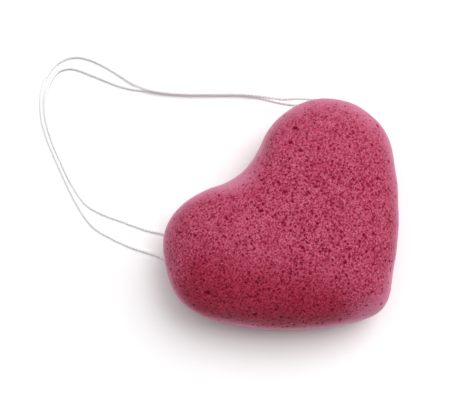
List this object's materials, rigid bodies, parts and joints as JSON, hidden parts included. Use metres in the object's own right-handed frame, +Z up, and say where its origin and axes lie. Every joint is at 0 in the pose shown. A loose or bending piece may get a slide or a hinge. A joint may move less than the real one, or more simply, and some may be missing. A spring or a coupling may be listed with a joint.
{
  "type": "konjac sponge",
  "caption": "Heart-shaped facial sponge of soft konjac foam with a domed, fine-pored face, threaded behind the hollow of the heart with a doubled cotton string to hang it by.",
  "frame": {"origin": "middle of the sponge's underside, on the surface that it lies on", "axes": "+Z up through the domed face, +X across the two lobes, +Y from the tip towards the hollow between the lobes and the string's loop"},
  "size_m": [0.0898, 0.135, 0.0319],
  "materials": {
    "foam": "matt, damp-soft konjac foam with open pores and a smooth pale rim",
    "cotton": "matt undyed twisted cotton"
  },
  "bodies": {
    "sponge": {"sponge_body": "foam", "threaded_string": "cotton", "string_left_leads": "cotton", "string_right_leads": "cotton", "string_knot": "cotton"},
    "loop": {"string_outer_strand": "cotton", "string_inner_strand": "cotton"}
  },
  "joints": [
    {"name": "loop_lift", "type": "hinge", "parent": "sponge", "child": "loop", "pos_m": [0, 0.0365, 0.0011], "axis": [1, 0, 0], "range_deg": [0, 90]}
  ]
}
